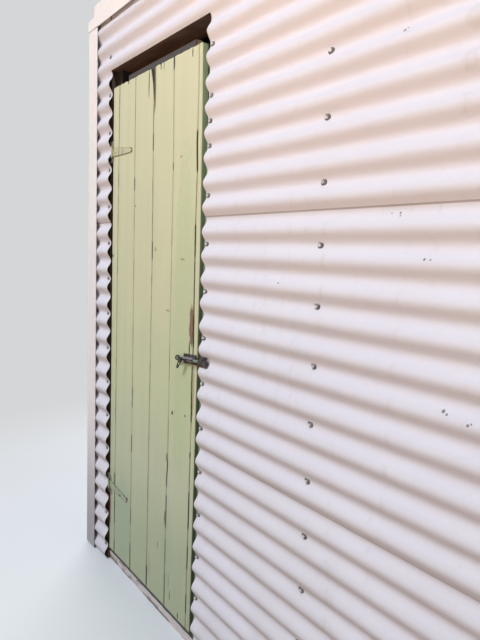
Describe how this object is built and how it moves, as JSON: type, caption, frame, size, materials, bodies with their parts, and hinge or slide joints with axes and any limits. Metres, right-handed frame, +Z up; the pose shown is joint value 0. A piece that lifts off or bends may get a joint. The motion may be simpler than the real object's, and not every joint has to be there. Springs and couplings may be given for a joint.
{
  "type": "shepherds hut",
  "caption": "Small timber-framed hut clad in horizontal corrugated iron, with a boarded door on T-hinges, a barrel bolt and a single-pitch iron roof.",
  "frame": {"origin": "centre of the hut's box at ground level", "axes": "+Z up, +X along the door wall to the right when facing the door, +Y from the door wall into the hut"},
  "size_m": [3.6052, 2.3839, 2.4316],
  "materials": {
    "wall_iron": "white painted corrugated iron, satin, slightly chalky",
    "roof_iron": "white painted corrugated iron, weathered",
    "trim": "white painted folded sheet",
    "frame_timber": "old bare sawn timber, brown",
    "floor_timber": "bare floor boards, worn",
    "sill_timber": "white paint worn to grey timber",
    "door_paint": "pale green paint on boards, weathered, cracked at the joints",
    "hinge_paint": "green painted over steel",
    "bolt_steel": "dark rusty steel with worn edges",
    "pin_steel": "dull old steel"
  },
  "bodies": {
    "hut": {"floor_joists": "frame_timber", "floor_boards": "floor_timber", "front_plates": "frame_timber", "front_studs": "frame_timber", "lintel": "frame_timber", "door_sill": "sill_timber", "door_stops": "frame_timber", "back_plates": "frame_timber", "back_studs": "frame_timber", "end_plates": "frame_timber", "left_studs": "frame_timber", "right_studs": "frame_timber", "rim_boards": "frame_timber", "rafters": "frame_timber", "battens": "frame_timber", "front_iron_left": "wall_iron", "front_iron_over_door": "wall_iron", "front_iron_right": "wall_iron", "back_iron": "wall_iron", "left_iron": "wall_iron", "right_iron": "wall_iron", "roof_iron": "roof_iron", "corner_trims": "trim", "front_capping": "trim", "left_barge": "trim", "right_barge": "trim", "upper_hinge_plate": "hinge_paint", "lower_hinge_plate": "hinge_paint", "hinge_pins": "pin_steel", "bolt_keeper": "bolt_steel"},
    "door": {"door_boards": "door_paint", "door_ledges": "door_paint", "door_braces": "door_paint", "upper_hinge_strap": "hinge_paint", "lower_hinge_strap": "hinge_paint", "bolt_base": "bolt_steel"},
    "bolt": {"bolt_rod": "bolt_steel"}
  },
  "joints": [
    {"name": "door_swing", "type": "hinge", "parent": "hut", "child": "door", "pos_m": [-1.5865, -1.17395, 1.08], "axis": [0, 0, -1], "range_deg": [0, 105]},
    {"name": "bolt_slide", "type": "slide", "parent": "door", "child": "bolt", "axis": [-0.9976, 0, -0.0698], "range_m": [-0.03, 0]}
  ]
}
